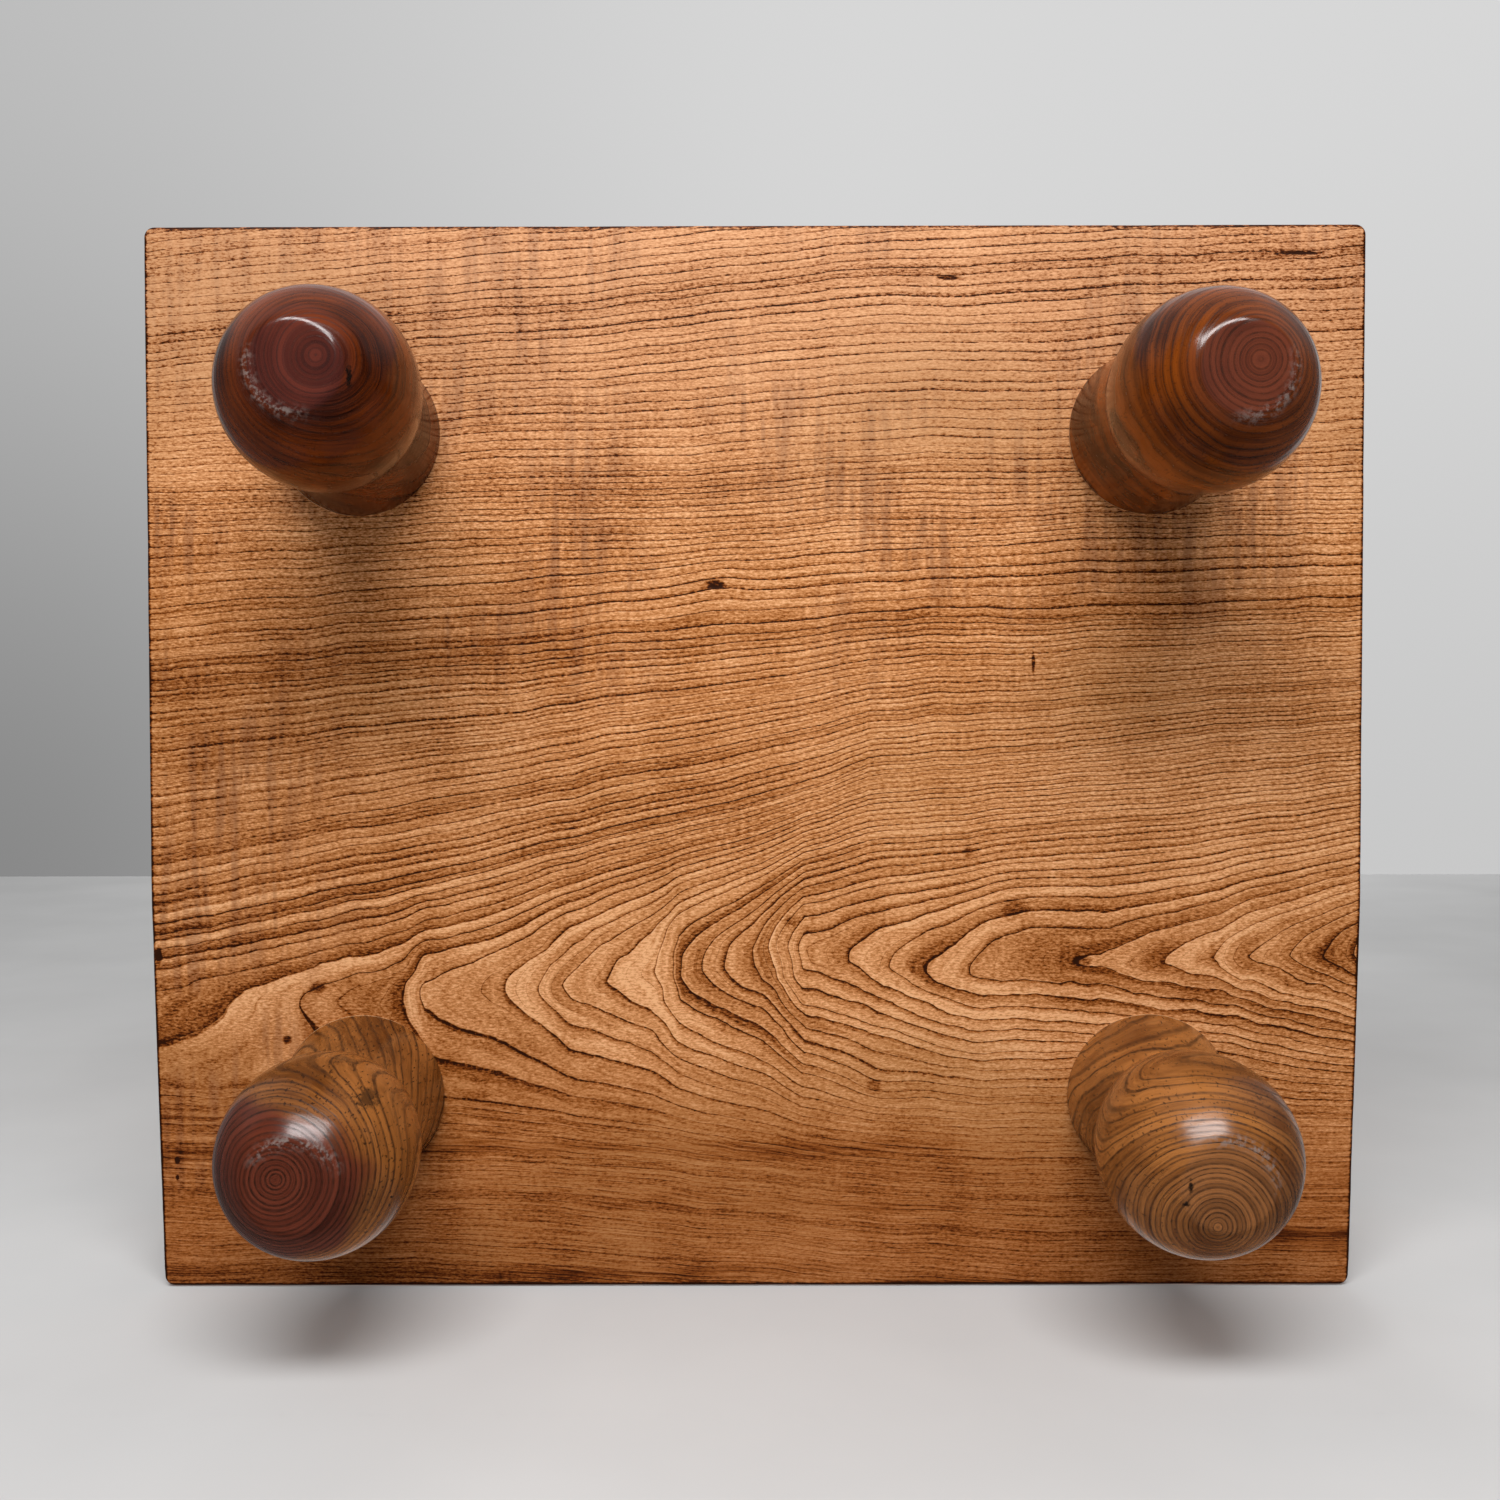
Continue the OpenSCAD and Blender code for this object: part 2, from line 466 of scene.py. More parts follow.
    def ring_lines(self, at: SlabPoint, count: Number, rate: Number) -> Number:
        """The dark line of each ring: sharp towards the flame, fading outwards, broken up by pores.

        Towards the left end, where the rings spread, some get a fainter second line halfway, and the
        wide rings of the flame get thin lines at each third.

        Args:
            at: the point being shaded.
            count: ring number, whole at each line.
            rate: rings per mm.

        Returns:
            Darkness from 0 to 1.
        """
        shader, _, x, y, depth = at
        part = count.part()
        chance = shader.lot(count.whole())
        flame = y.hump(85.0, 48.0)
        ragged = shader.streaks(x * 0.18, count * 2.5, depth * 0.18, 2.0, 0.6)
        slim = 0.95 + flame * 0.55 - 0.2 * y.smooth(0.0, -60.0) - 0.5 * y.smooth(92.0, 115.0)
        width = rate * (0.30 + 0.12 * chance) * (1.0 + ragged * 0.8) * slim
        sharp = part.smooth(width, width * 0.6)
        soft = (1.0 - part).smooth((width * 1.8).least(0.25), 0.0)
        line = sharp.most(soft * 0.4) * (0.74 + 0.26 * chance)
        spread = x.smooth(60.0, -130.0) * y.hump(-22.0, 48.0)
        spread = spread * shader.lot(count.whole() + 17.0).smooth(0.35, 0.45)
        halfway = (part - 0.5).smooth(width * 0.9, width * 0.3) * (part - 0.5).smooth(width * -1.6, 0.0)
        line = line.most(halfway * spread * 0.7)
        fine = count * 3.0
        fine_part, thin = fine.part(), (rate * 0.75).least(0.35)
        thread = fine_part.smooth(thin, thin * 0.4).most((1.0 - fine_part).smooth(thin, 0.0) * 0.6)
        thread = thread * shader.lot(fine.whole() + 5.0) * rate.ramp(0.24, 0.10)
        line = line.most(thread * 0.5)
        pores = shader.streaks(x * 0.7, count * 4.0, depth * 0.7, 1.0).smooth(-0.16, 0.02)
        gaps = 0.42 * (1.0 - rate.ramp(0.35, 0.1) * 0.7)
        ends = 1.0 - 0.32 * x.smooth(-120.0, -200.0)
        ends = ends - 0.4 * x.smooth(120.0, 220.0) * y.smooth(-90.0, -170.0)
        return line * (1.0 - gaps * (1.0 - pores)) * ends

    def ground_tone(self, at: SlabPoint, count: Number) -> Number:
        """Tone of the wood between the ring lines: streaks, flecks, patches, gloomy bands and painted
        light.

        Args:
            at: the point being shaded.
            count: ring number, whole at each line.

        Returns:
            Tone from about 0.3 for dark wood to 0.9 for pale wood.
        """
        shader, place, x, y, depth = at
        flame = y.hump(88.0, 45.0)
        streak = shader.streaks(x * 0.012, count * 1.9, depth * 0.02, 3.0, 0.6)
        hair = shader.streaks(x * 0.06, count * 3.5, depth * 0.06, 2.0, 0.6)
        fleck = shader.cloud(place, (0.5, 1.3, 1.3), 2.0, 0.7)
        low = (y - 20.0 * x.smooth(-100.0, 60.0)).smooth(105.0, 150.0) * depth.smooth(100.0, 30.0)
        tone = 0.62 - flame * 0.04 + streak * 0.5 + hair * (0.65 + low * 0.2)
        tone = tone + fleck * (1.5 + 0.35 * y.smooth(-40.0, -100.0) - 0.5 * low)
        patch = shader.cloud(place, (0.008, 0.013, 0.013))
        glow = shader.cloud(place, (0.035, 0.022, 0.022))
        # Painted light: a broad pool of light over the middle and front part of the underside.
        bright = x.hump(30.0, 170.0) * y.smooth(150.0, 60.0)
        bright = bright + x.hump(5.0, 80.0) * y.hump(-45.0, 40.0) * 0.8
        # Painted light on the right part of the underside, lifting the right front leg's shadow there; the
        # second term makes it lighter near the left end.
        ends = x.smooth(60.0, 190.0) * y.hump(0.0, 90.0) * 0.12
        ends = ends + x.hump(-205.0, 50.0) * y.hump(88.0, 24.0) * 0.10
        pale = x.hump(125.0, 80.0) * y.hump(122.0, 22.0) * 0.13
        pale = pale + x.hump(-110.0, 75.0) * y.hump(50.0, 36.0) * 0.07
        tone = tone + patch * 0.3 + glow * 0.35 + bright * 0.09 + ends + pale + y.smooth(-20.0, 60.0) * 0.02
        shade = shader.lot(count.whole() + 71.0) - 0.5
        wide = flame * y.smooth(128.0, 100.0)
        tone = tone + shade * (0.10 + 0.38 * wide) - count.part().smooth(0.35, 1.0) * (0.08 + 0.18 * wide)
        gloom = shader.streaks(x * 0.004, y * 0.06, depth * 0.03).smooth(0.0, 0.2)
        return tone - gloom * low * (0.13 + fleck.smooth(-0.12, 0.2) * 0.2) - low * 0.17

    def curl_bars(self, at: SlabPoint) -> Number:
        """Smoky bars across the grain, in patches along the front half and the left end.

        Args:
            at: the point being shaded.

        Returns:
            Their strength from 0 to 1.
        """
        shader, place, x, y, _ = at
        zone = y.smooth(0.0, -70.0).most(x.smooth(-130.0, -215.0) * 0.9)
        bars = shader.cloud(place, (0.26, 0.020, 0.020), 2.0, 0.55).smooth(-0.1, 0.18)
        patch = shader.cloud(place, (0.018, 0.024, 0.024), 1.0).smooth(-0.12, 0.12)
        return bars * patch * zone

    def spot_marks(self, at: SlabPoint, face: Number) -> tuple[Number, Number]:
        """All spots together.

        Args:
            at: the point being shaded.
            face: mask of the underside's skin.

        Returns:
            Their darkness, and their push on the ring number.
        """
        shader, place, x, y, _ = at
        ragged = shader.cloud(place, (0.35, 0.35, 0.35)) * 0.9
        masks, bends = [], []
        for spot in self.spots:
            wide, high = (x - spot.x) / spot.wide, (y - spot.y) / spot.high
            away = (wide * wide + high * high).root() + ragged
            masks.append(away.smooth(1.15, 0.45) * spot.dark)
            if spot.push:
                reach = 2.2 * (spot.wide + spot.high)
                far = ((x - spot.x) * (x - spot.x) + (y - spot.y) * (y - spot.y)) / (reach * reach)
                bends.append(shader.math("EXPONENT", -far) * spot.push)
        return reduce(Number.most, masks) * face, reduce(Number.__add__, bends) * face

    def build(self) -> bpy.types.Material:
        """Makes the material.

        Returns:
            Timber with ring lines, pores, curl, knots, painted shade along the arrises and painted sheen.
        """
        material, shader = new_material("slab_wood")
        place = shader.scaled(shader.place(), IN_MM)
        x, y, z = shader.split(place)
        depth = (z - self.underside).most(0.0)
        at = SlabPoint(shader, place, x, y, depth)
        ring, rate = self.warped_rings(at)
        dark, push = self.spot_marks(at, depth.smooth(5.0, 0.5))
        ring = ring + push
        uneven = shader.streaks(ring * 0.8, 0.0, 0.0, 1.0)
        count = ring + uneven * 0.9
        line = self.ring_lines(at, count, rate)
        tone = self.ground_tone(at, count)

        bands = reduce(Number.__add__, [ring.hump(b.ring, b.width) * b.dark for b in self.bands])
        bold = 0.72 + 0.1 * y.hump(85.0, 48.0) + 0.12 * y.smooth(-20.0, -80.0)
        bold = bold - 0.41 * y.smooth(112.0, 155.0) * depth.smooth(20.0, 5.0)
        bold = bold * (1.0 - 0.4 * depth.smooth(0.0, 100.0)) * (1.0 - 0.3 * y.smooth(-210.0, -211.6))
        curl = self.curl_bars(at)
        # Painted shade darkens the arrises, most along the underside.
        edge = self.painted_arris_shade(at) * (0.5 - 0.28 * depth.smooth(20.0, 60.0))
        tone = tone - bands * 0.22 - line * bold - curl * 0.13 - dark * 0.75 - edge
        colour = shader.tones(tone, self.tones)
        colour = shader.blend(curl * tone.ramp(0.2, 0.5) * 0.62, colour, self.smoke)
        tint = shader.cloud(place, (0.006, 0.009, 0.009), 1.0)
        colour = shader.blend(tint.smooth(0.0, 0.22) * tone.ramp(0.3, 0.6) * 0.4, colour, self.olive)
        colour = shader.blend(y.smooth(95.0, 200.0) * tone.ramp(0.2, 0.5) * 0.3, colour, self.red)
        # Painted sheen: a pale pink veil over the front part of the underside.
        colour = shader.blend(y.smooth(-60.0, -200.0) * tone.ramp(0.2, 0.6) * 0.42, colour, self.painted_sheen)

        grain = shader.streaks(x * 0.12, ring * 9.0, depth * 0.12, 2.0, 0.6)
        roughness = 0.42 + grain * 0.12 + line * 0.12 + dark * 0.3
        height = 1.0 - line * 0.8 - dark * 1.5 + grain * 0.3
        normal = shader.bump(height, 0.00025, 0.6)
        sockets = {"Base Color": colour, "Roughness": roughness, "Normal": normal, "IOR": 1.45,
                   "Specular IOR Level": 0.1}
        shader.principled(sockets)
        return material

    def painted_arris_shade(self, at: SlabPoint) -> Number:
        """Mask of the arrises round the underside and the playing face, where shade is painted."""
        half_length, half_width = self.length / 2.0, self.width / 2.0
        end = half_length - self.taper * at.y.ramp(half_width - self.taper_length, half_width)
        sides = (end - at.x.size()).least(half_width - at.y.size())
        faces = at.depth.least(self.thickness - at.depth)
        return sides.most(faces).smooth(1.7, 0.7)


@dataclass(frozen=True)
class LegMark:
    """A crack, hole or patch of pores on a leg, in mm on its own axis: place, half sizes, darkness."""

    x: float
    y: float
    drop: float
    wide: float
    high: float
    tall: float
    dark: float


@dataclass(frozen=True)
class LegWood:
    """Turned and varnished timber of one leg, cut from a whole stem so that the rings circle its heart."""

    name: str
    light: Colour
    dark: Colour
    end: Colour
    line: Colour
    ring_width: float
    heart: tuple[float, float]
    heart_lean: tuple[float, float]
    seed: float
    marks: tuple[LegMark, ...] = ()
    worn_side: tuple[float, float] = (-0.7, 0.7)
    line_share: float = 0.9
    stain: float = 0.3
    core: tuple[float, float, float, float] = (0.0, 0.0, 20.0, 20.0)
    pore_share: float = 0.4
    depth: float = 0.42
    gloss_rough: float = 0.17
    sway: float = 1.7
    figure: float = 1.0
    raw: Colour = (0.50, 0.31, 0.16)
    worn: Colour = (0.24, 0.19, 0.17)
    crack: Colour = (0.006, 0.004, 0.003)
    foot_radius: tuple[float, float] = (16.8, 15.0)
    foot_drop: tuple[float, float] = (98.0, 103.0)
    rim_radius: tuple[float, float] = (15.8, 2.0)
    rim_drop: tuple[float, float] = (103.0, 106.0)

    def rings(self, shader: Shader, x: Number, y: Number, drop: Number) -> Number:
        """Ring number: distance from the heart line, with slow sways and small kinks.

        Args:
            shader: the shader that the nodes go into.
            x: place on the leg's own axis along the block, in mm.
            y: place on the leg's own axis across the block, in mm.
            drop: distance below the underside in mm.

        Returns:
            A number that is whole at each ring line.
        """
        sway = shader.streaks(x * 0.03 + self.seed, y * 0.03, drop * 0.02)
        kink = shader.streaks(x * 0.12 + self.seed, y * 0.12, drop * 0.06)
        from_x = x - self.heart[0] - drop * self.heart_lean[0]
        from_y = y - self.heart[1] - drop * self.heart_lean[1]
        ring = (from_x * from_x + from_y * from_y).root() / self.ring_width + sway * self.sway + kink * 0.3
        return ring + shader.streaks(ring * 0.9, self.seed, 0.0, 1.0) * 0.9

    def mark_mask(self, shader: Shader, x: Number, y: Number, drop: Number) -> Number | None:
        """Darkness of all marks together, or nothing where the leg has none."""
        if not self.marks:
            return None
        masks = []
        ragged = shader.streaks(x * 0.7, y * 0.7, drop * 0.7) * 1.6
        for mark in self.marks:
            a, b, c = (x - mark.x) / mark.wide, (y - mark.y) / mark.high, (drop - mark.drop) / mark.tall
            away = (a * a + b * b + c * c).root() + ragged
            masks.append(away.smooth(1.1, 0.5) * mark.dark)
        return reduce(Number.most, masks)

    def build(self, base: Vector, turn: Euler) -> bpy.types.Material:
        """Makes the material.

        Args:
            base: where the leg's axis meets the underside, in metres.
            turn: how the leg's axis leans.

        Returns:
            Timber with circling rings, pores, a darker foot with a worn rim, and a bare tenon.
        """
        material, shader = new_material(self.name)
        sockets = {"Vector": shader.place(), "Location": base, "Rotation": turn}
        own = shader.add("ShaderNodeMapping", {"vector_type": "TEXTURE"}, sockets).outputs[0]
        x, y, z = shader.split(shader.scaled(own, IN_MM))
        drop = -z
        count = self.rings(shader, x, y, drop)
        part, chance = count.part(), shader.lot(count.whole() + self.seed)
        hair = shader.streaks(count * 4.0, z * 0.12, self.seed, 3.0, 0.7)
        patch = shader.streaks(x * 0.03, y * 0.03, z * 0.02 + self.seed)
        reach = (x * x + y * y).root()
        core_x, core_y = (x - self.core[0]) / self.core[2], (y - self.core[1]) / self.core[3]
        inside = ((core_x * core_x + core_y * core_y).root() + patch * 0.9 + hair * 0.2).smooth(1.12, 0.88)
        stain = inside * drop.smooth(45.0, 75.0)
        pores = shader.streaks(x * 0.5, y * 0.5, z * 0.28, 2.0, 0.6).smooth(-0.1, 0.14)
        thick = 0.26 + 0.14 * stain
        line = part.smooth(thick, thick * 0.5).most((1.0 - part).smooth(0.2, 0.0) * 0.5)
        line = line * (0.62 + 0.38 * chance) * (0.65 + 0.35 * pores)
        shade = shader.lot(count.whole() + self.seed + 31.0) - 0.5
        figure = (patch * 2.6 + hair * 2.0 + shade * 0.5) * self.figure
        tone = (figure + self.depth).ramp(0.0, 1.0)
        colour = shader.blend(tone, self.light, self.dark)
        disc = (reach + hair * 1.5).smooth(*self.foot_radius) * drop.smooth(*self.foot_drop)
        heartwood = tuple(c * 0.5 for c in self.end)
        mottle = (patch * 1.6 + hair * 1.6 + shade * 0.7 + 0.3).ramp(0.0, 1.0)
        foot = shader.blend(mottle, self.end, heartwood)
        colour = shader.blend((stain * self.stain).most(disc * 0.75), colour, foot)
        colour = shader.blend(line * self.line_share, colour, self.line)
        flecks = shader.streaks(x * 1.1 + self.seed, y * 1.1, z * 0.3, 1.0)
        colour = shader.blend(flecks.smooth(0.12, 0.2) * (1.0 - stain) * self.pore_share, colour, self.line)
        marks = self.mark_mask(shader, x, y, drop)
        if marks is not None:
            colour = shader.blend(marks, colour, self.crack)
        rim = reach.hump(*self.rim_radius) * drop.smooth(*self.rim_drop)
        facing = (x * self.worn_side[0] + y * self.worn_side[1]).smooth(4.0, 14.0)
        scuff = shader.streaks(x * 0.5, y * 0.5, self.seed, 3.0, 0.7).smooth(-0.06, 0.16)
        colour = shader.blend(rim * facing * scuff * 0.8, colour, self.worn)
        bare = drop.smooth(0.4, -0.4)
        planed = shader.blend((line * 0.6 + hair * 0.8 + 0.1).ramp(0.0, 1.0), self.raw, self.light)
        colour = shader.blend(bare, colour, planed)
        roughness = self.gloss_rough + hair * 0.15 + line * 0.15 + bare * 0.4
        height = 1.0 - line * 0.6 + hair * 0.5
        normal = shader.bump(height, 0.00003, 0.6)
        sockets = {"Base Color": colour, "Roughness": roughness, "Normal": normal, "IOR": 1.5,
                   "Specular IOR Level": 0.4}
        shader.principled(sockets)
        return material


@dataclass(frozen=True)
class Lacquer:
    """Black lacquer of the lines and star points, drawn a little unevenly."""

    thick: Colour = (0.010, 0.009, 0.008)
    thin: Colour = (0.035, 0.024, 0.017)

    def build(self) -> bpy.types.Material:
        """Makes the material: thin and thick stretches along the strokes, with a soft gloss."""
        material, shader = new_material("line_lacquer")
        place = shader.place()
        run = shader.noise(place, 3.0, scale=90.0)
        grain = shader.cloud(place, (60.0, 900.0, 60.0))
        colour = shader.blend((run * 1.6 + grain * 0.6 + 0.35).ramp(0.0, 1.0), self.thick, self.thin)
        sockets = {"Base Color": colour, "Roughness": 0.3 + run * 0.25 + grain * 0.1,
                   "Normal": shader.bump(run + grain, 0.00004, 0.5)}
        shader.principled(sockets)
        return material


@dataclass(frozen=True)
class PaleGround:
    """Matt pale paint of the floor planes, seen from their front alone."""

    name: str
    paint: Colour = grey(0.46)
    glow: Colour = grey(0.28)
    mottle: float = 0.05

    def build(self) -> bpy.types.Material:
        """Makes the material: faint mottling, a glow that keeps shadows light, and clear from behind."""
        material, shader = new_material(self.name)
        cloud = shader.noise(shader.place(), 4.0, scale=5.0)
        share = (cloud * 2.0 + 0.5).ramp(0.0, 1.0)
        worn = tuple(c * (1.0 - 3.0 * self.mottle) for c in self.paint)
        colour = shader.blend(share, self.paint, worn)
        matt = shader.add("ShaderNodeBsdfDiffuse", None, {"Color": colour}).outputs[0]
        glow = shader.add("ShaderNodeEmission", None, {"Color": (*self.glow, 1.0)}).outputs[0]
        matt = shader.add("ShaderNodeAddShader", None, {0: matt, 1: glow}).outputs[0]
        clear = shader.add("ShaderNodeBsdfTransparent").outputs[0]
        behind = shader.add("ShaderNodeNewGeometry").outputs["Backfacing"]
        shader.output(shader.add("ShaderNodeMixShader", None, {0: behind, 1: matt, 2: clear}).outputs[0])
        return material


def grid_faces(rows: int, columns: int, wrap: bool) -> np.ndarray:
    """Quads of a grid whose points are numbered row by row.

    Args:
        rows: number of rows of points.
        columns: number of points in a row.
        wrap: whether the last column joins the first.

    Returns:
        Four point numbers for each quad.
    """
    across = columns if wrap else columns - 1
    row, column = np.meshgrid(np.arange(rows - 1), np.arange(across), indexing="ij")
    right = (column + 1) % columns
    corners = [row * columns + column, row * columns + right,
               (row + 1) * columns + right, (row + 1) * columns + column]
    return np.stack([c.ravel() for c in corners], axis=1)


def fan_faces(start: int, count: int, pole: int) -> np.ndarray:
    """Triangles from a closed row of points to one pole."""
    here = np.arange(count)
    return np.stack([start + here, start + (here + 1) % count, np.full(count, pole)], axis=1)


class MeshDraft:
    """Collects patches of points and faces, and makes one closed mesh of them."""

    merge_within = 2e-7
    sliver_within = 1e-8

    def __init__(self) -> None:
        """Starts with no patches."""
        self.points: list[np.ndarray] = []
        self.faces: list[list[int]] = []
        self.total = 0

    def patch(self, points: np.ndarray, faces: Iterable[np.ndarray]) -> None:
        """Adds a patch.

        Args:
            points: its points in mm, one to a row.
            faces: arrays of point numbers, counted from the patch's first point.
        """
        for group in faces:
            self.faces.extend((group + self.total).tolist())
        self.points.append(points.reshape(-1, 3))
        self.total += len(self.points[-1])

    def sheet(self, rows: np.ndarray, wrap: bool) -> None:
        """Adds a grid of points as a patch of quads."""
        self.patch(rows, [grid_faces(rows.shape[0], rows.shape[1], wrap)])

    def finish(self, name: str, sharp: float) -> bpy.types.Object:
        """Makes the object.

        Args:
            name: the piece's name.
            sharp: angle in degrees past which an edge stays sharp.

        Returns:
            The object at the origin, its doubles merged and its faces outwards.
        """
        mesh = bpy.data.meshes.new(name)
        mesh.from_pydata((np.concatenate(self.points) * MM).tolist(), [], self.faces)
        work = bmesh.new()
        work.from_mesh(mesh)
        bmesh.ops.remove_doubles(work, verts=work.verts, dist=self.merge_within)
        bmesh.ops.dissolve_degenerate(work, edges=work.edges, dist=self.sliver_within)
        bmesh.ops.recalc_face_normals(work, faces=work.faces)
        work.to_mesh(mesh)
        work.free()
        mesh.shade_smooth()
        mesh.set_sharp_from_angle(angle=math.radians(sharp))
        obj = bpy.data.objects.new(name, mesh)
        bpy.context.scene.collection.objects.link(obj)
        return obj


class End(Enum):
    """Side along the block's length."""

    LEFT = -1
    RIGHT = 1


class Edge(Enum):
    """Side across the block's width."""

    FRONT = -1
    REAR = 1


@dataclass
class TurnedLeg:
    """One leg: a tapering collar, a waist, a bulb with a flat foot, and a tenon above the underside."""

    node: str
    slot: str
    end: End
    edge: Edge
    inward: float
    outward: float
    wood: LegWood
    seed: int
    along: float = 157.5
    front_place: float = -130.0
    rear_place: float = 135.0
    leg_height: float = 110.0
    collar_radius: float = 32.75
    waist_radius: float = 26.5
    waist_drop: float = 39.0
    bulb_radius: float = 35.0
    bulb_drop: float = 74.0
    foot_radius: float = 15.5
    tenon_radius: float = 17.0
    tenon_length: float = 36.0
    tenon_chamfer: float = 1.5
    sides: int = 160
    tenon_rows: int = 6
    collar_rows: int = 40
    waist_rows: int = 31
    bulb_rows: int = 64
    shoulder_inset: float = 0.25
    rim_softness: float = 0.35
    crease_softness: float = 0.45
    sharp_angle: float = 34.0

    @property
    def base(self) -> np.ndarray:
        """Where the axis meets the underside, in mm."""
        across = self.front_place if self.edge is Edge.FRONT else self.rear_place
        return np.array([self.end.value * self.along, across, self.leg_height])

    @property
    def turn(self) -> Euler:
        """How the axis leans: first across the block, then along it."""
        across, along = self.edge.value * self.outward, self.end.value * self.inward
        return Euler((math.radians(across), math.radians(along), 0.0))

    def arc(self, radius: float, drop: float) -> tuple[float, float]:
        """Circle that is upright at the bulb's widest ring and passes a ring of that radius and drop.

        Args:
            radius: the ring's radius.
            drop: the ring's drop below the underside.

        Returns:
            The circle's centre, as an offset from the axis, and its radius.
        """
        rise = self.bulb_radius ** 2 - radius ** 2 - (drop - self.bulb_drop) ** 2
        centre = rise / (2.0 * (self.bulb_radius - radius))
        return centre, self.bulb_radius - centre

    def radius(self, drop: np.ndarray) -> np.ndarray:
        """Radius of the outline at each drop below the underside.

        The collar is a cone; the bulb is two circles that meet upright at its widest ring. Where the
        cone and the upper circle cross, a soft maximum rounds the crease.

        Args:
            drop: drops below the underside in mm.

        Returns:
            Radii in mm.
        """
        slope = (self.collar_radius - self.waist_radius) / self.waist_drop
        cone = self.collar_radius - slope * drop
        upper_centre, upper_round = self.arc(self.waist_radius, self.waist_drop)
        lower_centre, lower_round = self.arc(self.foot_radius, self.leg_height)
        off = drop - self.bulb_drop
        upper = upper_centre + np.sqrt(np.maximum(upper_round ** 2 - off ** 2, 0.0))
        lower = lower_centre + np.sqrt(np.maximum(lower_round ** 2 - off ** 2, 0.0))
        soft = self.crease_softness
        crease = soft * np.logaddexp(cone / soft, upper / soft)
        return np.maximum(np.where(off > 0.0, lower, crease), 0.0)

    def to_frame(self, points: np.ndarray) -> np.ndarray:
        """Points on the leg's own axis, moved to where the leg stands."""
        return points @ np.array(self.turn.to_matrix()).T + self.base

    def build(self) -> bpy.types.Object:
        """Builds the leg as rows of points round its axis, from the tenon's end to the foot.

        A row at drop h has radius r(h) plus a slight lathe ripple; the shoulder is cut level with the
        underside, and a soft maximum flattens the foot on the floor.

        Returns:
            The piece.
        """
        angle = np.linspace(0.0, 2.0 * np.pi, self.sides, endpoint=False)
        ring = np.stack([np.cos(angle), np.sin(angle)], axis=1)
        lean = np.array(self.turn.to_matrix())[2]
        level = ring @ lean[:2] / lean[2]
        phase = self.seed * 1.7

        tenon_r = self.tenon_radius
        root = level * tenon_r
        top = self.tenon_length - self.tenon_chamfer
        cap = [(tenon_r - self.tenon_chamfer) * s for s in (0.5, 1.0)]
        rows = [np.column_stack([ring * r, np.full(self.sides, self.tenon_length)]) for r in cap]
        for share in np.linspace(0.0, 1.0, self.tenon_rows):
            rows.append(np.column_stack([ring * tenon_r, top * (1.0 - share) - root * share]))

        shoulder = np.zeros(self.sides)
        for _ in range(4):
            shoulder = level * self.radius(shoulder)
        shoulder_r = self.radius(shoulder)
        for share in (0.5, 1.0):
            reach = tenon_r + (shoulder_r - self.shoulder_inset - tenon_r) * share
            rows.append(np.column_stack([ring * reach[:, None], -level * reach]))
        for share in np.linspace(0.012, 1.0, self.collar_rows) ** 0.9:
            drop = shoulder + (self.waist_drop - shoulder) * share
            rows.append(self.turned_row(ring, angle, drop, phase))
        pole_centre, pole_round = self.arc(self.foot_radius, self.leg_height)
        pole = self.bulb_drop + math.sqrt(pole_round ** 2 - pole_centre ** 2)
        for share in np.linspace(0.0, 1.0, self.waist_rows)[1:] ** 1.15:
            drop = np.full(self.sides, self.waist_drop + (self.bulb_drop - self.waist_drop) * share)
            rows.append(self.turned_row(ring, angle, drop, phase))
        sweep = math.asin((pole - self.bulb_drop) / pole_round)
        for share in np.linspace(0.0, 1.0, self.bulb_rows)[1:-1]:
            drop = np.full(self.sides, self.bulb_drop + pole_round * math.sin(sweep * share))
            rows.append(self.turned_row(ring, angle, drop, phase))

        body = np.concatenate(rows)
        ends = np.array([[0.0, 0.0, self.tenon_length], [0.0, 0.0, -pole]])
        points = self.to_frame(np.concatenate([body, ends]))
        soft = self.rim_softness
        points[:, 2] = soft * np.logaddexp(points[:, 2] / soft, 0.0)
        below = np.arange(len(points)) >= (len(cap) + self.tenon_rows) * self.sides
        points[below, 2] = np.minimum(points[below, 2], self.leg_height)
        points[-2] = self.to_frame(ends[:1])[0]

        count = len(rows)
        draft = MeshDraft()
        draft.patch(points, [grid_faces(count, self.sides, True),
                             fan_faces(0, self.sides, len(points) - 2),
                             fan_faces((count - 1) * self.sides, self.sides, len(points) - 1)])
        return draft.finish(f"{self.node}_turned", self.sharp_angle)

    def turned_row(self, ring: np.ndarray, angle: np.ndarray, drop: np.ndarray, phase: float) -> np.ndarray:
        """One row of the turned surface, with a ripple of a few hundredths of a mm and a hint of oval."""
        ripple = 0.03 * np.sin(drop * 2.1 + phase) + 0.05 * np.cos(2.0 * angle + phase) - 0.06
        reach = np.maximum(self.radius(drop) + ripple, 0.0)
        return np.column_stack([ring * reach[:, None], -drop])

    def dress(self, obj: bpy.types.Object) -> None:
        """Gives the piece its finish and puts it on its body."""
        obj.data.materials.append(self.wood.build(Vector(self.base * MM), self.turn))
        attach(obj, self.node)
        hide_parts(self.node)


